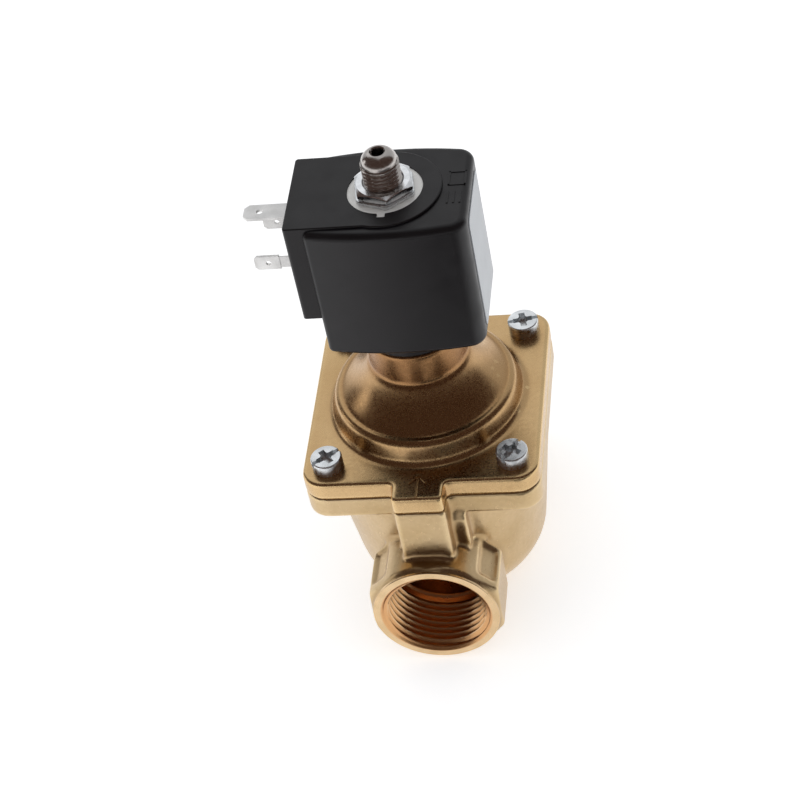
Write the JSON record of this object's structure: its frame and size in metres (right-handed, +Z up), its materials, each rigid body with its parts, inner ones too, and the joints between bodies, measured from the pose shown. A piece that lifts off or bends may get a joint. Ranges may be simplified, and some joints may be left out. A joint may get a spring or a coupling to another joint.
{
  "type": "solenoid valve",
  "caption": "Pilot-operated diaphragm solenoid valve with female pipe ports in line, a four-screw cover, an orientable block coil with blade terminals and a threaded exhaust.",
  "frame": {"origin": "on the vertical axis of the main seat and armature tube, in the plane of the body's flat foot", "axes": "+Z up along the armature tube, +Y in the flow direction from inlet to outlet, coil terminals towards -X at rest"},
  "size_m": [0.0784, 0.098, 0.164],
  "materials": {
    "body_brass": "satin as cast",
    "cover_brass": "satin, darker than the body",
    "zinc_steel": "bright zinc plated",
    "pole_steel": "finely brushed",
    "tube_steel": "turned stainless",
    "tinned": "tin plated",
    "copper": "enamelled wire",
    "shading_copper": "bare",
    "coil_plastic": "satin black",
    "bobbin_plastic": "satin",
    "label_film": "smooth film, blank",
    "seal_rubber": "matt"
  },
  "bodies": {
    "valve": {"valve_body": "body_brass", "cover": "cover_brass", "cover_screws": "zinc_steel", "pilot_o_ring": "seal_rubber", "tube_o_ring": "seal_rubber", "armature_tube": "tube_steel", "tube_bush": "cover_brass", "exhaust_stub": "tube_steel", "shading_ring": "shading_copper", "lock_washer": "zinc_steel", "coil_nut": "zinc_steel", "diaphragm": "seal_rubber"},
    "main_closer": {"main_seal_disc": "seal_rubber", "diaphragm_support": "pole_steel", "diaphragm_screw": "tube_steel", "diaphragm_nut": "tube_steel", "main_spring": "tube_steel"},
    "pilot_plunger": {"plunger": "tube_steel", "plunger_lower_seal": "seal_rubber", "plunger_upper_seal": "seal_rubber", "plunger_spring": "tube_steel"},
    "coil": {"coil_housing": "coil_plastic", "coil_label": "label_film", "coil_top_plate": "pole_steel", "magnet_frame": "pole_steel", "bobbin": "bobbin_plastic", "winding": "copper", "coil_base_ring": "coil_plastic", "terminal_earth": "tinned", "terminal_line": "tinned", "terminal_neutral": "tinned"}
  },
  "joints": [
    {"name": "main_valve_slide", "type": "slide", "parent": "valve", "child": "main_closer", "axis": [0, 0, 1], "range_m": [0, 0.006], "stiffness_N_per_m": 400, "springref_m": -0.01, "deforming": ["main_spring", "diaphragm"]},
    {"name": "plunger_slide", "type": "slide", "parent": "valve", "child": "pilot_plunger", "axis": [0, 0, 1], "range_m": [0, 0.0015], "stiffness_N_per_m": 300, "springref_m": -0.004, "deforming": ["plunger_spring"]},
    {"name": "coil_swivel", "type": "hinge", "parent": "valve", "child": "coil", "pos_m": [0, 0, 0.127], "axis": [0, 0, 1], "continuous": true}
  ]
}
